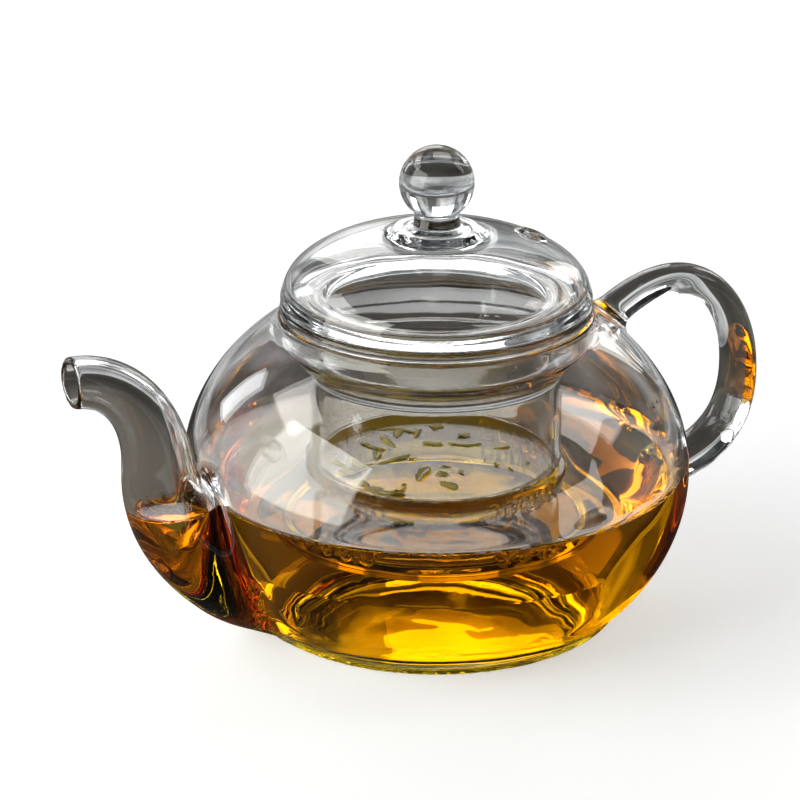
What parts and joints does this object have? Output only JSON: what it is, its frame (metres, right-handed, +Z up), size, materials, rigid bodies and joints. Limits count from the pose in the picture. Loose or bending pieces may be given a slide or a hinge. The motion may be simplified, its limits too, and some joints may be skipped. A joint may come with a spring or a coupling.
{
  "type": "glass teapot",
  "caption": "Clear glass teapot with a lift-out slotted glass infuser and a domed lid with a ball knob.",
  "frame": {"origin": "centre of the foot's underside, on the bowl's axis", "axes": "+Z up along the bowl's axis, +X toward the handle, -X toward the spout"},
  "size_m": [0.1991, 0.1324, 0.1251],
  "materials": {
    "pot_glass": "clear polished borosilicate glass",
    "infuser_glass": "clear polished borosilicate glass",
    "lid_glass": "clear polished borosilicate glass",
    "tea": "clear amber tea",
    "leaf": "wet tea leaf, olive to brown"
  },
  "bodies": {
    "pot": {"pot_bowl": "pot_glass", "pot_foot": "pot_glass", "spout": "pot_glass", "handle": "pot_glass"},
    "infuser": {"infuser_cup": "infuser_glass", "infuser_flange": "infuser_glass", "infuser_floor": "infuser_glass"},
    "lid": {"lid_seat": "lid_glass", "lid_dome": "lid_glass", "lid_collar": "lid_glass", "knob_stem": "lid_glass", "knob_ball": "lid_glass"}
  },
  "joints": [
    {"name": "infuser_lift", "type": "slide", "parent": "pot", "child": "infuser", "axis": [0, 0, 1], "range_m": [0, 0.075]},
    {"name": "lid_lift", "type": "slide", "parent": "infuser", "child": "lid", "axis": [0, 0, 1], "range_m": [0, 0.045]}
  ]
}
